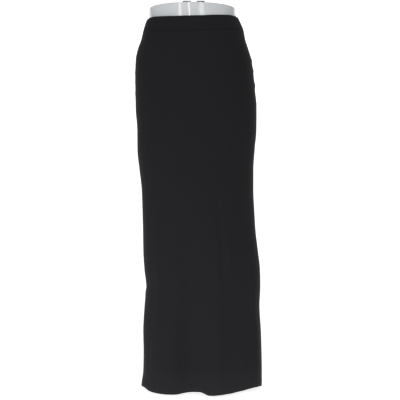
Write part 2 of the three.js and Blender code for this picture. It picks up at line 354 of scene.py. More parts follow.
def grid_bmesh(points, ring):
    """Quads through rows and columns of points, with a UV map of true lengths. A ring's columns close up."""
    rows, columns = points.shape[0] - 1, points.shape[1] - 1
    bm = bmesh.new()
    uv = bm.loops.layers.uv.new("cloth")
    bmesh.ops.create_grid(bm, x_segments=columns, y_segments=rows, size=0.5)
    bm.verts.ensure_lookup_table()
    along = np.median(np.linalg.norm(np.diff(points, axis=1), axis=-1), axis=0)
    down = np.median(np.linalg.norm(np.diff(points, axis=0), axis=-1), axis=1)
    across = np.concatenate(([0], np.cumsum(along)))
    drop = np.concatenate(([0], np.cumsum(down)))
    cell = {vert: (round((0.5 - vert.co.y) * rows), round((vert.co.x + 0.5) * columns)) for vert in bm.verts}
    for face in bm.faces:
        for loop in face.loops:
            row, column = cell[loop.vert]
            loop[uv].uv = (across[column], -drop[row])
    for vert, (row, column) in cell.items():
        vert.co = points[row, column]
    if ring:
        bmesh.ops.remove_doubles(bm, verts=bm.verts, dist=1e-6)
    bm.normal_update()
    return bm


def thicken(bm, thickness):
    """Gives a sheet, whose faces point outwards, a wall on its inner side."""
    bmesh.ops.solidify(bm, geom=bm.faces[:], thickness=thickness)


def turned_bmesh(profile, segments, bevel):
    """A turned piece: a profile of radius and height pairs, spun about Z, with its sharp edges bevelled."""
    bm = bmesh.new()
    verts = [bm.verts.new((radius, 0, height)) for radius, height in profile]
    edges = [bm.edges.new(pair) for pair in zip(verts, verts[1:])]
    bmesh.ops.spin(
        bm, geom=verts + edges, cent=(0, 0, 0), axis=(0, 0, 1), angle=math.tau, steps=segments, use_merge=True
    )
    bmesh.ops.remove_doubles(bm, verts=bm.verts, dist=1e-6)
    flat_tops = [face for face in bm.faces if abs(face.normal.z) > 0.999]
    bmesh.ops.dissolve_faces(bm, faces=flat_tops)
    bmesh.ops.recalc_face_normals(bm, faces=bm.faces)
    round_off(bm, bevel)
    return bm


def round_off(bm, width, least=0.5, segments=3):
    """Bevels every edge that turns by more than an angle in radians, and leaves large faces flat."""
    sharp = [edge for edge in bm.edges if edge.is_manifold and edge.calc_face_angle(0) > least]
    bmesh.ops.bevel(
        bm, geom=sharp, offset=width, offset_type="OFFSET", segments=segments, profile=0.5, affect="EDGES",
        material=-1, clamp_overlap=True,
    )
    for face in bm.faces:
        face.smooth = len(face.verts) < 8


def thread_bmesh(angle, z, depth, radius, sides=6):
    """A closed loop of sewing thread over and through the cloth, at angles, heights and depths along it."""
    centre = cloth_points(angle, z, depth)
    outward = centre - cloth_points(angle, z, depth + 1)
    outward /= np.linalg.norm(outward, axis=1, keepdims=True)
    ahead = np.roll(centre[:-1], -1, axis=0) - np.roll(centre[:-1], 1, axis=0)
    ahead = np.vstack((ahead, ahead[:1]))
    ahead /= np.linalg.norm(ahead, axis=1, keepdims=True)
    beside = np.cross(ahead, outward)
    turn = np.linspace(0, math.tau, sides + 1)[:, None, None]
    return grid_bmesh(centre + radius * (np.cos(turn) * outward + np.sin(turn) * beside), ring=True)


# Materials


def new_material(name):
    """A material with a Principled shader. Returns the material, its node tree and the shader."""
    material = bpy.data.materials.new(name)
    material.use_nodes = True
    tree = material.node_tree
    return material, tree, tree.nodes["Principled BSDF"]


def add(tree, kind, **settings):
    """A new node. Settings name its properties, or its inputs where a property has no such name."""
    node = tree.nodes.new(kind)
    for name, value in settings.items():
        if hasattr(node, name):
            setattr(node, name, value)
        else:
            node.inputs[name.replace("_", " ").title()].default_value = value
    return node


def maths(tree, operation, first, second=0.5, clamp=False):
    """A Math node whose inputs are sockets or numbers. Returns its output."""
    node = add(tree, "ShaderNodeMath", operation=operation, use_clamp=clamp)
    for socket, value in zip(node.inputs, (first, second)):
        if isinstance(value, bpy.types.NodeSocket):
            tree.links.new(value, socket)
        else:
            socket.default_value = value
    return node.outputs[0]


def blend_colour(tree, amount, first, second, blend_type="MIX"):
    """A mix of two colours by a socket. The first may be a socket too. Returns its output."""
    node = add(tree, "ShaderNodeMix", data_type="RGBA", blend_type=blend_type)
    tree.links.new(amount, node.inputs["Factor"])
    if isinstance(first, bpy.types.NodeSocket):
        tree.links.new(first, node.inputs[6])
    else:
        node.inputs[6].default_value = (*first, 1)
    node.inputs[7].default_value = (*second, 1)
    return node.outputs[2]


def spread(tree, value, low, high):
    """Maps 0 to 1 onto low to high."""
    node = add(tree, "ShaderNodeMapRange")
    tree.links.new(value, node.inputs["Value"])
    node.inputs["To Min"].default_value, node.inputs["To Max"].default_value = low, high
    return node.outputs["Result"]


def bump(tree, shader, height, strength, distance):
    """Feeds a height to the shader's normal."""
    node = add(tree, "ShaderNodeBump")
    node.inputs["Strength"].default_value, node.inputs["Distance"].default_value = strength, distance
    tree.links.new(height, node.inputs["Height"])
    tree.links.new(node.outputs["Normal"], shader.inputs["Normal"])


def group(name, inputs, outputs):
    """An empty node group, with its sockets and their defaults. Returns the tree and its two end nodes."""
    tree = bpy.data.node_groups.new(name, "ShaderNodeTree")
    for title, (kind, default) in inputs.items():
        socket = tree.interface.new_socket(title, in_out="INPUT", socket_type=kind)
        if default is not None:
            socket.default_value = default
    for title, kind in outputs.items():
        tree.interface.new_socket(title, in_out="OUTPUT", socket_type=kind)
    return tree, tree.nodes.new("NodeGroupInput"), tree.nodes.new("NodeGroupOutput")


def knit_group():
    """Fine jersey: upright ribs of stitches crossed by rows, in yarn whose tone varies a little."""
    tree, given, result = group(
        "Fine Knit",
        {
            "Vector": ("NodeSocketVector", None),
            "Rib": ("NodeSocketFloat", 0.00055),
            "Row": ("NodeSocketFloat", 0.00045),
        },
        {"Height": "NodeSocketFloat", "Tone": "NodeSocketFloat"},
    )
    place = add(tree, "ShaderNodeSeparateXYZ")
    tree.links.new(given.outputs["Vector"], place.inputs[0])
    rib = maths(tree, "DIVIDE", place.outputs["X"], given.outputs["Rib"])
    row = maths(tree, "DIVIDE", place.outputs["Y"], given.outputs["Row"])
    ridge = maths(tree, "ABSOLUTE", maths(tree, "SINE", maths(tree, "MULTIPLY", rib, math.pi)))
    # Each stitch is a V: the rows rise on both sides of a rib's middle.
    lean = maths(tree, "MULTIPLY", ridge, 0.45)
    rung = maths(tree, "SINE", maths(tree, "MULTIPLY", maths(tree, "ADD", row, lean), math.tau))
    height = maths(tree, "ADD", ridge, maths(tree, "MULTIPLY", rung, 0.22))
    cloudy = add(tree, "ShaderNodeTexNoise", noise_dimensions="3D", Scale=60.0, Detail=4.0, Roughness=0.6)
    tree.links.new(given.outputs["Vector"], cloudy.inputs["Vector"])
    tree.links.new(height, result.inputs["Height"])
    tree.links.new(cloudy.outputs[0], result.inputs["Tone"])
    return tree


def speck_group():
    """Sparse specks, for lint on cloth and dust or scuffs on hard faces."""
    tree, given, result = group(
        "Specks",
        {
            "Vector": ("NodeSocketVector", None),
            "Scale": ("NodeSocketFloat", 180.0),
            "Amount": ("NodeSocketFloat", 0.06),
        },
        {"Mask": "NodeSocketFloat"},
    )
    cells = add(tree, "ShaderNodeTexVoronoi", feature="F1")
    tree.links.new(given.outputs["Vector"], cells.inputs["Vector"])
    tree.links.new(given.outputs["Scale"], cells.inputs["Scale"])
    near = maths(tree, "LESS_THAN", cells.outputs["Distance"], given.outputs["Amount"])
    tree.links.new(near, result.inputs["Mask"])
    return tree


def grain_group():
    """Fine grain for hard faces: an uneven film over a finer tooth."""
    tree, given, result = group(
        "Surface Grain",
        {
            "Vector": ("NodeSocketVector", None),
            "Film": ("NodeSocketFloat", 9.0),
            "Tooth": ("NodeSocketFloat", 900.0),
        },
        {"Film": "NodeSocketFloat", "Tooth": "NodeSocketFloat"},
    )
    for title, detail in (("Film", 5.0), ("Tooth", 2.0)):
        noise = add(tree, "ShaderNodeTexNoise", Detail=detail)
        tree.links.new(given.outputs["Vector"], noise.inputs["Vector"])
        tree.links.new(given.outputs[title], noise.inputs["Scale"])
        tree.links.new(noise.outputs[0], result.inputs[title])
    return tree


def use_group(tree, name, vector, **values):
    """Places a node group, fed with a vector, with its own values."""
    node = add(tree, "ShaderNodeGroup")
    node.node_tree = bpy.data.node_groups[name]
    tree.links.new(vector, node.inputs["Vector"])
    for title, value in values.items():
        node.inputs[title.title()].default_value = value
    return node


def painted_light_ramp(tree, height, start, end, amount):
    """A share that grows softly from 0 at one height to an amount at a lower one."""
    node = add(tree, "ShaderNodeMapRange", interpolation_type="SMOOTHSTEP")
    tree.links.new(height, node.inputs["Value"])
    for title, value in (("From Min", start), ("From Max", end), ("To Min", 0.0), ("To Max", amount)):
        node.inputs[title].default_value = value
    return node.outputs["Result"]


def jersey_material(cloth):
    """Matte black jersey, a little lighter where its nap catches the light."""
    material, tree, shader = new_material("black_jersey")
    uv = add(tree, "ShaderNodeUVMap", uv_map="cloth").outputs["UV"]
    place = add(tree, "ShaderNodeTexCoord").outputs["Object"]
    knit = use_group(tree, "Fine Knit", uv, rib=cloth.rib_pitch, row=cloth.row_pitch)
    lint = use_group(tree, "Specks", place, scale=120.0, amount=0.035)
    dark, light = (tuple(c * share for c in cloth.colour) for share in (0.85, 1.15))
    yarn = blend_colour(tree, knit.outputs["Tone"], dark, light)
    # Painted light: the cloth is painted lighter towards the hem, and lighter still on the hem itself, for
    # the light that the pale floor throws up onto it.
    split = add(tree, "ShaderNodeSeparateXYZ")
    tree.links.new(place, split.inputs[0])
    floor_light_share = painted_light_ramp(tree, split.outputs["Z"], 0.95, 0.0, cloth.painted_floor_light)
    hem_light_share = painted_light_ramp(tree, split.outputs["Z"], 0.085, 0.005, cloth.painted_hem_light)
    floor_lit = blend_colour(tree, maths(tree, "ADD", floor_light_share, hem_light_share), yarn, (0.03, 0.0295, 0.032))
    # Painted shade: the furrows between the ribs are painted darker. Lint lies on top.
    painted_furrow_shade = spread(tree, knit.outputs["Height"], 0.55, 0.0)
    furrow_shaded = blend_colour(tree, painted_furrow_shade, floor_lit, (0.5, 0.5, 0.52), "MULTIPLY")
    fluff = maths(tree, "MULTIPLY", lint.outputs["Mask"], 0.35)
    linty = blend_colour(tree, fluff, furrow_shaded, (0.06, 0.06, 0.062))
    tree.links.new(linty, shader.inputs["Base Color"])
    tree.links.new(spread(tree, knit.outputs["Tone"], 0.78, 0.95), shader.inputs["Roughness"])
    shader.inputs["Specular IOR Level"].default_value = 0.1
    shader.inputs["Sheen Weight"].default_value = cloth.sheen
    shader.inputs["Sheen Roughness"].default_value = 0.45
    shader.inputs["Sheen Tint"].default_value = (0.62, 0.64, 0.68, 1)
    bump(tree, shader, knit.outputs["Height"], 0.35, 0.00018)
    return material


def thread_material(cloth):
    """Twisted black sewing thread, slightly glossier than the cloth."""
    material, tree, shader = new_material("black_thread")
    place = add(tree, "ShaderNodeTexCoord").outputs["Object"]
    twist = add(tree, "ShaderNodeTexWave", bands_direction="DIAGONAL", Scale=900.0, Distortion=2.0)
    tree.links.new(place, twist.inputs["Vector"])
    dark, light = (tuple(c * share for c in cloth.colour) for share in (0.8, 1.3))
    tone = blend_colour(tree, twist.outputs["Color"], dark, light)
    tree.links.new(tone, shader.inputs["Base Color"])
    tree.links.new(spread(tree, twist.outputs["Color"], 0.6, 0.8), shader.inputs["Roughness"])
    shader.inputs["Specular IOR Level"].default_value = 0.15
    bump(tree, shader, twist.outputs["Color"], 0.4, 0.0001)
    return material


def lacquer_material(form):
    """Gloss lacquer over a moulded form: off-white, with a faint orange peel and a few scuffs."""
    material, tree, shader = new_material("gloss_lacquer")
    place = add(tree, "ShaderNodeTexCoord").outputs["Object"]
    grain = use_group(tree, "Surface Grain", place, film=7.0, tooth=160.0)
    scuffs = use_group(tree, "Specks", place, scale=45.0, amount=0.05)
    dark, light = (tuple(min(1, c * share) for c in form.colour) for share in (0.95, 1.04))
    tone = blend_colour(tree, grain.outputs["Film"], dark, light)
    scuffed = maths(tree, "MULTIPLY", scuffs.outputs["Mask"], 0.12)
    marked = blend_colour(tree, scuffed, tone, (0.6, 0.6, 0.6), "MULTIPLY")
    tree.links.new(marked, shader.inputs["Base Color"])
    film = spread(tree, grain.outputs["Film"], 0.16, 0.26)
    dull = maths(tree, "MULTIPLY", scuffs.outputs["Mask"], 0.2)
    tree.links.new(maths(tree, "ADD", film, dull), shader.inputs["Roughness"])
    shader.inputs["Coat Weight"].default_value = 1
    shader.inputs["Coat Roughness"].default_value = 0.02
    bump(tree, shader, grain.outputs["Tooth"], 0.05, 0.0003)
    return material


def steel_material(name, stretch):
    """Brushed steel. Stretch squeezes the grain along one axis, so that the lines run across it."""
    material, tree, shader = new_material(name)
    place = add(tree, "ShaderNodeTexCoord").outputs["Object"]
    squeeze = add(tree, "ShaderNodeMapping")
    squeeze.inputs["Scale"].default_value = stretch
    tree.links.new(place, squeeze.inputs["Vector"])
    grain = use_group(tree, "Surface Grain", squeeze.outputs["Vector"], film=6.0, tooth=60.0)
    tone = blend_colour(tree, grain.outputs["Tooth"], (0.085, 0.09, 0.098), (0.19, 0.2, 0.21))
    tree.links.new(tone, shader.inputs["Base Color"])
    shader.inputs["Metallic"].default_value = 1
    tree.links.new(spread(tree, grain.outputs["Tooth"], 0.24, 0.42), shader.inputs["Roughness"])
    bump(tree, shader, grain.outputs["Tooth"], 0.15, 0.00008)
    return material


def powder_material():
    """Pale powder coat with a fine tooth, on the base plate."""
    material, tree, shader = new_material("powder_coat")
    place = add(tree, "ShaderNodeTexCoord").outputs["Object"]
    grain = use_group(tree, "Surface Grain", place, film=14.0, tooth=1400.0)
    dust = use_group(tree, "Specks", place, scale=260.0, amount=0.05)
    tone = blend_colour(tree, grain.outputs["Film"], (0.7, 0.7, 0.71), (0.8, 0.8, 0.8))
    settled = maths(tree, "MULTIPLY", dust.outputs["Mask"], 0.25)
    dusty = blend_colour(tree, settled, tone, (0.45, 0.44, 0.42))
    tree.links.new(dusty, shader.inputs["Base Color"])
    tree.links.new(spread(tree, grain.outputs["Tooth"], 0.4, 0.6), shader.inputs["Roughness"])
    bump(tree, shader, grain.outputs["Tooth"], 0.3, 0.0001)
    return material


def material_named(name, make, *values):
    """The material of that name, made the first time that it is asked for."""
    return bpy.data.materials.get(name) or make(*values)


# Sizes and colours that a user would change


class ClothSettings(bpy.types.PropertyGroup):
    wall: FloatProperty(
        name="Cloth", description="Thickness of one layer of jersey", default=0.0011, unit="LENGTH"
    )
    seam_gap: FloatProperty(name="Seam", description="Gap between sewn pieces", default=0.0003, unit="LENGTH")
    band_height: FloatProperty(
        name="Band", description="Height of the waistband", default=0.04, unit="LENGTH"
    )
    turn_up: FloatProperty(
        name="Turn-up", description="Height of the hem's inner layer", default=0.022, unit="LENGTH"
    )
    fold_radius: FloatProperty(
        name="Fold", description="Radius of the hem's fold", default=0.0012, unit="LENGTH"
    )
    stitch_pitch: FloatProperty(
        name="Pitch", description="From one stitch to the next", default=0.003, unit="LENGTH"
    )
    thread: FloatProperty(
        name="Thread", description="Radius of the sewing thread", default=0.00022, unit="LENGTH"
    )
    rib_pitch: FloatProperty(
        name="Rib", description="Width of one upright rib of the knit", default=0.0007, unit="LENGTH"
    )
    row_pitch: FloatProperty(
        name="Row", description="Height of one row of the knit", default=0.00055, unit="LENGTH"
    )
    # Painted light: how much lighter the cloth is painted towards the hem, for light from the floor
    painted_floor_light: FloatProperty(
        name="Fading", description="Greying towards the hem", default=0.235, subtype="FACTOR", max=1
    )
    # Painted light: how much lighter the hem itself is painted, for light from the floor
    painted_hem_light: FloatProperty(
        name="Hem", description="Greying of the hem itself", default=0.3, subtype="FACTOR", max=1
    )
    sheen: FloatProperty(
        name="Sheen", description="Strength of the nap's sheen", default=0.06, subtype="FACTOR", max=1
    )
    colour: FloatVectorProperty(
        name="Yarn", description="Colour of the yarn", default=(0.0104, 0.0102, 0.0116),
        subtype="COLOR", max=1,
    )
    rows: IntProperty(name="Rows", description="Rows of faces down a panel", default=180)
    columns: IntProperty(name="Columns", description="Columns of faces across a panel", default=116)


class FormSettings(bpy.types.PropertyGroup):
    clearance: FloatProperty(
        name="Gap", description="Between the form and the cloth", default=0.0008, unit="LENGTH"
    )
    rim_rounding: FloatProperty(
        name="Rim", description="Rounding of the top edge", default=0.002, unit="LENGTH"
    )
    foot_rounding: FloatProperty(
        name="Foot", description="Height of the rounded foot", default=0.042, unit="LENGTH"
    )
    foot_inset: FloatProperty(
        name="Inset", description="How far the foot turns in", default=0.02, unit="LENGTH"
    )
    columns: IntProperty(name="Columns", description="Columns of faces round the form", default=160)
    colour: FloatVectorProperty(
        name="Lacquer", description="Colour of the lacquer", default=(0.56, 0.578, 0.592),
        subtype="COLOR", max=1,
    )


class StandSettings(bpy.types.PropertyGroup):
    bevel: FloatProperty(name="Bevel", description="Rounding of turned edges", default=0.0008, unit="LENGTH")
    segments: IntProperty(name="Segments", description="Segments round a turned piece", default=72)
    screw_radius: FloatProperty(
        name="Screw", description="Radius of a screw's head", default=0.003, unit="LENGTH"
    )


class StudioSettings(bpy.types.PropertyGroup):
    distance: FloatProperty(
        name="Distance", description="From the camera to the skirt", default=2.0, unit="LENGTH"
    )
    height: FloatProperty(name="Height", description="Height of the camera", default=0.515, unit="LENGTH")
    aside: FloatProperty(
        name="Aside", description="How far right the camera stands", default=0.0023, unit="LENGTH"
    )
    pixel: FloatProperty(
        name="Pixel", description="Size of a pixel at the skirt", default=0.00275, unit="LENGTH"
    )
    softboxes: FloatProperty(
        name="Softboxes", description="Strength of all the softboxes together", default=1.0
    )
    world: FloatProperty(
        name="Surroundings", description="Strength of the light from all round", default=0.03
    )
    glow: FloatProperty(name="Glow", description="Light that the white sweep gives by itself", default=0.84)


# Operators


class SKIRT_OT_panels(bpy.types.Operator):
    """Front and back panels of jersey, with their hems turned up inside"""

    bl_idname = "skirt.panels"
    bl_label = "Panels"

    def execute(self, context):
        cloth = context.scene.skirt_cloth
        jersey = material_named("black_jersey", jersey_material, cloth)
        for cut in PANELS:
            angle, roll = self.columns(cut["seam"], cloth)
            z, depth = self.rows(angle, cloth)
            bm = grid_bmesh(cloth_points(np.broadcast_to(angle, z.shape), z, depth + roll), ring=False)
            thicken(bm, cloth.wall)
            panel = keep(bm, f"{cut['name']}_cloth", jersey, cut["name"])
        return {"FINISHED"}

    def columns(self, start, cloth):
        """Angles across a panel, and how far the cloth rolls in at each side seam, in millimetres."""
        edge = np.array([step["along"] for step in SEAM_ROLL]) / DEGREE_LENGTH
        roll = np.array([step["depth"] for step in SEAM_ROLL])
        trim = cloth.seam_gap / MM / 2 / DEGREE_LENGTH
        middle = np.linspace(trim + edge[-1], 180 - trim - edge[-1], cloth.columns)
        angle = start + np.concatenate((trim + edge[:-1], middle, 180 - trim - edge[-2::-1]))
        return angle, np.concatenate((roll[:-1], np.zeros(cloth.columns), roll[-2::-1]))

    def rows(self, angle, cloth):
        """Heights and depths down a panel, round the fold of its hem and up inside, in millimetres."""
        top = waist_edge(angle) - (cloth.band_height + cloth.seam_gap) / MM
        hem, radius = hem_edge(angle), cloth.fold_radius / MM
        heights = [top + step["rise"] for step in PANEL_ROLL]
        depths = [step["depth"] for step in PANEL_ROLL]
        start, end = top - 2.2, hem + radius  # between the rolled edge and the fold
        for t in np.linspace(0, 1, cloth.rows):
            heights.append(start + (end - start) * (0.75 * t + 0.25 * t * t))
            depths.append(0)
        for rise, depth in folded(radius):
            heights.append(hem + rise)
            depths.append(depth)
        for rise in np.linspace(0, cloth.turn_up / MM - radius, 6)[1:]:
            heights.append(hem + radius + rise)
            depths.append(2 * radius)
        return np.array(heights), np.broadcast_to(np.array(depths)[:, None], (len(depths), len(angle)))


class SKIRT_OT_waistband(bpy.types.Operator):
    """Waistband of doubled jersey over elastic, with a folded top edge"""

    bl_idname = "skirt.waistband"
    bl_label = "Waistband"

    def execute(self, context):
        cloth = context.scene.skirt_cloth
        jersey = material_named("black_jersey", jersey_material, cloth)
        angle = np.linspace(0, 360, 2 * cloth.columns + 1)
        edge, height = waist_edge(angle), cloth.band_height / MM
        radius = 1.3  # of the folded top edge
        drops = [height - step["rise"] for step in BAND_ROLL]
        depths = [step["depth"] for step in BAND_ROLL]
        lower_edge, inner_edge = height - 2.4, height - 5
        for drop in np.linspace(lower_edge, radius, 14):
            drops.append(drop)
            depths.append(0)
        for drop, depth in folded(radius):
            drops.append(drop)
            depths.append(depth)
        for drop in np.linspace(radius, inner_edge, 8)[1:]:
            drops.append(drop)
            depths.append(2 * radius)
        z = edge - np.array(drops)[:, None]
        depth = np.array(depths)[:, None] + self.ripple(angle, np.array(drops)[:, None])
        bm = grid_bmesh(cloth_points(np.broadcast_to(angle, z.shape), z, depth), ring=True)
        bmesh.ops.reverse_faces(bm, faces=bm.faces)
        thicken(bm, cloth.wall)
        band = keep(bm, "waistband_cloth", jersey, "waistband")
        return {"FINISHED"}

    def ripple(self, angle, drop):
        """The elastic's faint gathers, and the seam that closes the band at the back, in millimetres."""
        gathers = 0.1 * np.sin(np.radians(angle * 47)) * np.sin(np.radians(angle * 13 + 40))
        seam = 0.5 * np.exp(-((turn_from(angle, 90) / 1.1) ** 2))
        return (gathers + seam) * np.clip(drop / 4, 0, 1)


class SKIRT_OT_sewing(bpy.types.Operator):
    """Twin rows of hem stitches outside, their zigzag inside, and the side seams' allowances"""

    bl_idname = "skirt.sewing"
    bl_label = "Sewing"

    def execute(self, context):
        cloth = context.scene.skirt_cloth
        thread = material_named("black_thread", thread_material, cloth)
        half_hem = 0.43  # metres round half the hem
        count = 2 * round(half_hem / cloth.stitch_pitch)
        step = np.arange(6 * count + 1) / 6  # in stitches
        angle = step * 360 / count
        # Each stitch lies on the cloth for most of its length and dips into it at both ends.
        dip = np.clip(np.abs((step + 0.5) % 1 - 0.5) * 6 - 0.5, -0.5, 0.7)
        rows = (4, 1)  # millimetres under the turn-up's edge
        for row, drop in enumerate(rows, 1):
            z = hem_edge(angle % 360) + cloth.turn_up / MM - drop
            stitches = thread_bmesh(angle, z, 0.3 - 0.5 * dip, cloth.thread)
            keep(stitches, f"hem_stitches_{row}", thread)
        swing = 1.6  # millimetres to both sides of the zigzag's middle
        zigzag = swing * (4 * np.abs((step / 2) % 1 - 0.5) - 1)
        z = hem_edge(angle % 360) + cloth.turn_up / MM - sum(rows) / 2 + zigzag
        depth = np.full(len(step), 2 * cloth.fold_radius / MM + 0.15)
        keep(thread_bmesh(angle, z, depth, cloth.thread), "hem_zigzag", thread)
        self.allowances(cloth)
        return {"FINISHED"}

    def allowances(self, cloth):
        """The spare cloth behind each side seam, pressed to the back, from the hem up to the waistband."""
        jersey = material_named("black_jersey", jersey_material, cloth)
        before, behind = 0.8, 3.2  # degrees that it reaches past the seam
        deepest, least, wall = 2.5, 1.5, 0.7
        for side, start in SIDES.items():
            towards_back = 1 if side == "right" else -1
            angle = start + towards_back * np.linspace(-before, behind, 8)
            low = hem_edge(angle % 360) + 2
            high = waist_edge(angle % 360) - cloth.band_height / MM - 1
            z = low + (high - low) * np.linspace(0, 1, 220)[:, None]
            # It lies behind both layers of the hem, and close behind the panels above it.
            above = eased(z - low - cloth.turn_up / MM, -2, 8)
            depth = deepest + (least - deepest) * above
            bm = grid_bmesh(cloth_points(np.broadcast_to(angle, z.shape), z, depth), ring=False)
            if towards_back < 0:
                bmesh.ops.reverse_faces(bm, faces=bm.faces)
                bm.normal_update()
            thicken(bm, wall * MM)
            keep(bm, f"seam_allowance_{side}", jersey)


class SKIRT_OT_form(bpy.types.Operator):
    """The waist and hip form under the cloth, with its rounded rim and foot"""

    bl_idname = "skirt.form"
    bl_label = "Form"

    def execute(self, context):
        form = context.scene.skirt_form
        foot, rim = (corner[2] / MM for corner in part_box("form_body"))
        angle = np.linspace(0, 360, form.columns + 1)
        rounding, heel, inset = form.rim_rounding / MM, form.foot_rounding / MM, form.foot_inset / MM
        rings = [(rim, 0, share) for share in (0, 0.15, 0.35, 0.6, 0.85, 0.97)]
        for lean in np.radians(np.linspace(0, 90, 8)):
            rings.append((rim - rounding * (1 - math.cos(lean)), rounding * (1 - math.sin(lean)), 1))
        rings += [(z, 0, 1) for z in np.linspace(rim - rounding, foot + heel, 70)[1:]]
        for lean in np.radians(np.linspace(9, 90, 10)):
            rings.append((foot + heel * (1 - math.sin(lean)), inset * (1 - math.cos(lean)), 1))
        rings += [(foot, inset, share) for share in (0.95, 0.7, 0.4, 0.15, 0)]
        bm = grid_bmesh(np.array([self.ring(angle, *ring, form) for ring in rings]), ring=True)
        bmesh.ops.remove_doubles(bm, verts=bm.verts, dist=1e-5)
        bmesh.ops.recalc_face_normals(bm, faces=bm.faces)
        lacquer = material_named("gloss_lacquer", lacquer_material, form)
        keep(bm, "hip_form", lacquer, "form_body")
        return {"FINISHED"}

    def ring(self, angle, z, extra, share, form):
        """One ring of the form at a height, moved in by extra and shrunk to a share of its size."""
        band_foot = WAIST_EDGE[0]["z"] - 2 * SOLID_BAND_HEIGHT
        under_band = eased(z, band_foot, band_foot + INSET_CHANGE)
        wall = SOLID_WALL + (SOLID_BAND_WALL - SOLID_WALL) * under_band
        depth = np.full(angle.shape, wall + form.clearance / MM + extra)
        points = cloth_points(angle, np.full(angle.shape, float(z)), depth, creased=False)
        points[:, 2] = z * MM
        middle = points[:-1].mean(axis=0)
        return middle + (points - middle) * share


class SKIRT_OT_fitting(bpy.types.Operator):
    """The steel fitting on top of the form: a screwed plate with two upright lugs"""

    bl_idname = "skirt.fitting"
    bl_label = "Top Fitting"

    def execute(self, context):
        stand = context.scene.skirt_stand
        steel = material_named("brushed_steel", steel_material, "brushed_steel", (1, 14, 1))
        low, high = corners("fitting_plate")
        middle, radius = (low + high) / 2, (high.x - low.x) / 2
        profile = [(0, low.z), (radius, low.z), (radius, high.z), (0, high.z)]
        bm = turned_bmesh(profile, stand.segments, stand.bevel)
        bmesh.ops.translate(bm, verts=bm.verts, vec=(middle.x, middle.y, 0))
        keep(bm, "fitting_plate_steel", steel, "fitting_plate", smooth=False)
        for side in ("left", "right"):
            self.lug(f"fitting_lug_{side}", steel)
        bm = bmesh.new()
        for turn in range(4):
            lean = math.radians(45 + 90 * turn)
            spot = Vector((middle.x + 0.75 * radius * math.cos(lean), 0.75 * radius * math.sin(lean), high.z))
            self.screw(bm, spot, stand.screw_radius)
        keep(bm, "fitting_screws", steel, smooth=False)
        return {"FINISHED"}

    def lug(self, node, steel):
        """A flat upright lug with rounded shoulders and softened edges."""
        low, high = corners(node)
        shoulder, rounding = 0.002, 0.0006
        bm = bmesh.new()
        bmesh.ops.create_cube(bm, size=1)
        bmesh.ops.scale(bm, verts=bm.verts, vec=high - low)
        bmesh.ops.translate(bm, verts=bm.verts, vec=(low + high) / 2)
        upper = [edge for edge in bm.edges if all(vert.co.z > high.z - 1e-6 for vert in edge.verts)]
        shoulders = [edge for edge in upper if abs(edge.verts[0].co.x - edge.verts[1].co.x) < 1e-6]
        bmesh.ops.bevel(
            bm, geom=shoulders, offset=shoulder, offset_type="OFFSET", segments=8, profile=0.5,
            affect="EDGES", material=-1, clamp_overlap=True,
        )
        round_off(bm, rounding, least=0.6)
        keep(bm, f"{node}_steel", steel, node, smooth=False)

    def screw(self, bm, spot, radius):
        """A screw's low round head, with a round well in its top."""
        height, well = 0.0016, 0.0009
        head = bmesh.ops.create_cone(
            bm, cap_ends=True, segments=24, radius1=radius, radius2=radius * 0.94, depth=height,
            matrix=Matrix.Translation(spot + Vector((0, 0, height / 2))),
        )
        faces = [face for vert in head["verts"] for face in vert.link_faces]
        top = max(faces, key=lambda face: face.calc_center_median().z)
        bmesh.ops.inset_individual(bm, faces=[top], thickness=radius * 0.45)
        bmesh.ops.translate(bm, verts=top.verts, vec=(0, 0, -well))


class SKIRT_OT_stand(bpy.types.Operator):
    """The stand inside the skirt: flange, pole, collar and oval base plate"""

    bl_idname = "skirt.stand"
    bl_label = "Stand"

    def execute(self, context):
        stand = context.scene.skirt_stand
        steel = material_named("turned_steel", steel_material, "turned_steel", (1, 1, 16))
        powder = material_named("powder_coat", powder_material)
        for node in ("pole_flange", "pole"):
            low, high = corners(node)
            profile = [(0, low.z), (high.x, low.z), (high.x, high.z), (0, high.z)]
            bm = turned_bmesh(profile, stand.segments, stand.bevel)
            keep(bm, f"{node}_steel", steel, node, smooth=False)
        self.collar(stand, steel)
        low, high = corners("base_plate")
        edge, chamfer = high.x, 0.003
        profile = [(0, low.z), (edge, low.z), (edge, high.z - chamfer), (edge - chamfer, high.z), (0, high.z)]
        bm = turned_bmesh(profile, 2 * stand.segments, stand.bevel)
        bmesh.ops.scale(bm, verts=bm.verts, vec=(1, high.y / high.x, 1))
        keep(bm, "base_plate_coat", powder, "base_plate", smooth=False)
        return {"FINISHED"}

    def collar(self, stand, steel):
        """A ring round the pole's foot, with a set screw in its front."""
        low, high = corners("pole_collar")
        gap, chamfer = 0.0003, 0.002
        edge, bore = high.x, corners("pole")[1].x + gap
        profile = [
            (bore, low.z), (edge, low.z), (edge, high.z - chamfer), (edge - chamfer, high.z), (bore, high.z),
            (bore, low.z),
        ]
        bm = turned_bmesh(profile, stand.segments, stand.bevel)
        keep(bm, "pole_collar_steel", steel, "pole_collar", smooth=False)
        radius, height, proud, well = stand.screw_radius, 0.0016, 0.0012, 0.001
        spot = Vector((0, height / 2 - proud - edge, (low.z + high.z) / 2))
        facing = Matrix.Translation(spot) @ Matrix.Rotation(math.pi / 2, 4, "X")
        bm = bmesh.new()
        bmesh.ops.create_cone(
            bm, cap_ends=True, segments=24, radius1=radius, radius2=radius, depth=height, matrix=facing
        )
        front = min(bm.faces, key=lambda face: face.calc_center_median().y)
        bmesh.ops.inset_individual(bm, faces=[front], thickness=radius * 0.4)
        bmesh.ops.translate(bm, verts=front.verts, vec=(0, well, 0))
        keep(bm, "collar_screw", steel, smooth=False)


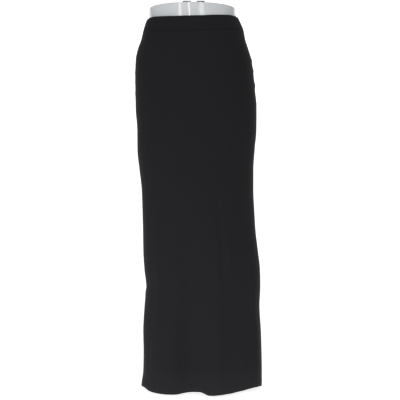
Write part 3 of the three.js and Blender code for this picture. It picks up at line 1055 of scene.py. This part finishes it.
class SKIRT_OT_studio(bpy.types.Operator):
    """Pale sweep, soft lights and the camera"""

    bl_idname = "skirt.studio"
    bl_label = "Studio"

    def execute(self, context):
        studio = context.scene.skirt_studio
        self.sweep(studio.glow)
        for light in LIGHTS:
            self.light(**light, strength=studio.softboxes)
        self.surroundings(context.scene, studio.world)
        self.camera(context.scene, studio)
        return {"FINISHED"}

    def sweep(self, glow):
        """A floor that curves up into a wall behind."""
        bm = bmesh.new()
        half, front, bend, radius, top = 4.0, -3.5, 1.6, 1.2, 4.0
        path = [(front, 0), (bend, 0)]
        for lean in np.radians(np.linspace(6, 90, 15)):
            path.append((bend + radius * math.sin(lean), radius * (1 - math.cos(lean))))
        path.append((bend + radius, top))
        verts = [bm.verts.new((-half, y, z)) for y, z in path]
        edges = [bm.edges.new(pair) for pair in zip(verts, verts[1:])]
        drawn = bmesh.ops.extrude_edge_only(bm, edges=edges)["geom"]
        moved = [item for item in drawn if isinstance(item, bmesh.types.BMVert)]
        bmesh.ops.translate(bm, verts=moved, vec=(2 * half, 0, 0))
        bmesh.ops.recalc_face_normals(bm, faces=bm.faces)
        for face in bm.faces:
            face.smooth = True
        mesh = bpy.data.meshes.new("sweep")
        bm.to_mesh(mesh)
        bm.free()
        material, tree, shader = new_material("white_sweep")
        shader.inputs["Base Color"].default_value = (0.75, 0.75, 0.75, 1)
        shader.inputs["Roughness"].default_value = 0.9
        shader.inputs["Specular IOR Level"].default_value = 0.1
        shader.inputs["Emission Color"].default_value = (1, 1, 1, 1)
        shader.inputs["Emission Strength"].default_value = glow
        mesh.materials.append(material)
        sweep = bpy.data.objects.new("sweep", mesh)
        bpy.context.scene.collection.objects.link(sweep)

    def light(self, name, bearing, rise, distance, width, height, radiance, aim, lean, strength):
        """A softbox that faces a height on the skirt's middle, from a bearing right of the camera."""
        lamp = bpy.data.lights.new(name, "AREA")
        lamp.shape, lamp.size, lamp.size_y = "RECTANGLE", width, height
        lamp.energy = math.pi * width * height * radiance * strength
        holder = bpy.data.objects.new(name, lamp)
        turn, lift = math.radians(bearing), math.radians(rise)
        away = Vector((math.sin(turn) * math.cos(lift), -math.cos(turn) * math.cos(lift), math.sin(lift)))
        holder.location = away * distance + Vector((0, 0, aim))
        facing = away.to_track_quat("Z", "Y").to_matrix() @ Matrix.Rotation(math.radians(lean), 3, "Z")
        holder.rotation_euler = facing.to_euler()
        holder.visible_camera = False
        bpy.context.scene.collection.objects.link(holder)

    def surroundings(self, scene, strength):
        """A white room past the sweep's edges, which gives little light, and plain colours."""
        world = bpy.data.worlds.new("studio")
        world.use_nodes = True
        tree = world.node_tree
        background = tree.nodes["Background"]
        background.inputs["Color"].default_value = (1, 1, 1, 1)
        seen = maths(tree, "MULTIPLY", add(tree, "ShaderNodeLightPath").outputs["Is Camera Ray"], 0.75)
        tree.links.new(maths(tree, "ADD", seen, strength), background.inputs["Strength"])
        scene.world = world
        scene.view_settings.view_transform = "Standard"

    def camera(self, scene, studio):
        """A level camera in front of the skirt."""
        data = bpy.data.cameras.new("camera")
        picture_width = 400 * studio.pixel
        data.sensor_width = 36
        data.lens = data.sensor_width * studio.distance / picture_width
        data.clip_end = 50
        camera = bpy.data.objects.new("camera", data)
        camera.location = (studio.aside, -studio.distance, studio.height)
        camera.rotation_euler = (math.pi / 2, 0, 0)
        scene.collection.objects.link(camera)
        scene.camera = camera


class SKIRT_PT_sidebar(bpy.types.Panel):
    """The skirt's pieces and their sizes"""

    bl_idname = "SKIRT_PT_sidebar"
    bl_label = "Maxi Skirt"
    bl_space_type = "VIEW_3D"
    bl_region_type = "UI"
    bl_category = "Skirt"

    def draw(self, context):
        for settings, operators in STEPS.items():
            box = self.layout.box()
            for operator in operators:
                box.operator(operator)
            values = getattr(context.scene, settings)
            for name in values.bl_rna.properties.keys():
                if name not in ("rna_type", "name"):
                    box.prop(values, name)


GROUPS = {
    "skirt_cloth": ClothSettings,
    "skirt_form": FormSettings,
    "skirt_stand": StandSettings,
    "skirt_studio": StudioSettings,
}
STEPS = {
    "skirt_cloth": ("skirt.panels", "skirt.waistband", "skirt.sewing"),
    "skirt_form": ("skirt.form",),
    "skirt_stand": ("skirt.fitting", "skirt.stand"),
    "skirt_studio": ("skirt.studio",),
}
CLASSES = (
    *GROUPS.values(), SKIRT_OT_panels, SKIRT_OT_waistband, SKIRT_OT_sewing, SKIRT_OT_form, SKIRT_OT_fitting,
    SKIRT_OT_stand, SKIRT_OT_studio, SKIRT_PT_sidebar,
)


def register():
    for kind in CLASSES:
        bpy.utils.register_class(kind)
    for name, kind in GROUPS.items():
        setattr(bpy.types.Scene, name, PointerProperty(type=kind))


def unregister():
    for name in GROUPS:
        delattr(bpy.types.Scene, name)
    for kind in reversed(CLASSES):
        bpy.utils.unregister_class(kind)


def main():
    register()
    for make in (knit_group, speck_group, grain_group):
        make()
    for operators in STEPS.values():
        for name in operators:
            folder, step = name.split(".")
            getattr(getattr(bpy.ops, folder), step)()


if __name__ == "__main__":
    main()
